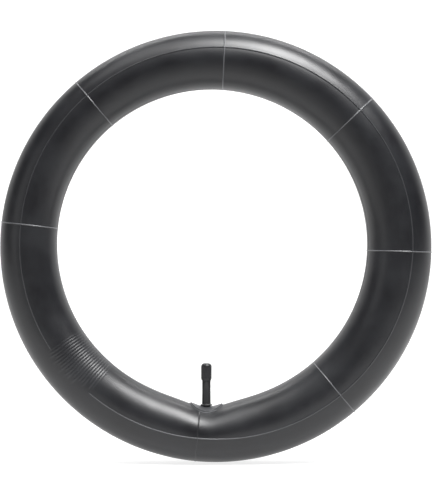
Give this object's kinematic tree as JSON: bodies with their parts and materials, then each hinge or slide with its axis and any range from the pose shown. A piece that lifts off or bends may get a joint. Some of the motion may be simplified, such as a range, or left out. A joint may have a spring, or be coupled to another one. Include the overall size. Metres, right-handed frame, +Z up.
{
  "type": "inner tube",
  "caption": "Blown-up butyl bicycle inner tube with a straight rubber-covered valve, screw-on dust cap and sprung valve core.",
  "frame": {"origin": "centre of the wheel that the tube goes on, which is the centre of the ring", "axes": "+Y along the wheel's axle, through the ring; +Z up, along the upright valve stem, which stands near the bottom of the ring; +X across the ring"},
  "size_m": [0.42, 0.0654, 0.42],
  "materials": {
    "tube_butyl": "satin",
    "pad_rubber": "matte",
    "stem_rubber": "satin",
    "valve_brass": "satin",
    "spring_steel": "polished",
    "seal_plastic": "satin",
    "seal_rubber": "matte",
    "cap_plastic": "satin"
  },
  "bodies": {
    "tube_and_stem": {"tube": "tube_butyl", "valve_pad": "pad_rubber", "stem_rubber": "stem_rubber", "stem_insert": "valve_brass", "core_plug": "valve_brass", "core_seal": "seal_plastic", "core_barrel": "valve_brass", "core_spring": "spring_steel"},
    "pin_assembly": {"core_pin": "valve_brass", "core_cup": "valve_brass", "cup_seal": "seal_rubber"},
    "cap_disc": {"cap_seal": "seal_rubber"},
    "cap": {"cap_shell": "cap_plastic"}
  },
  "joints": [
    {"name": "pin_press", "type": "slide", "parent": "tube_and_stem", "child": "pin_assembly", "axis": [0, 0, -1], "range_m": [0, 0.0015], "stiffness_N_per_m": 1500, "deforming": ["core_spring"]},
    {"name": "cap_lift", "type": "slide", "parent": "tube_and_stem", "child": "cap_disc", "axis": [0, 0, 1], "range_m": [0, 0.0198]},
    {"name": "cap_turn", "type": "hinge", "parent": "cap_disc", "child": "cap", "pos_m": [-0.0092, 0, -0.11592], "axis": [0, 0, 1], "range_deg": [0, 9000]}
  ],
  "couplings": [
    {"joint": "cap_turn", "follows": "cap_lift", "rad_per_m": 7915.8}
  ]
}
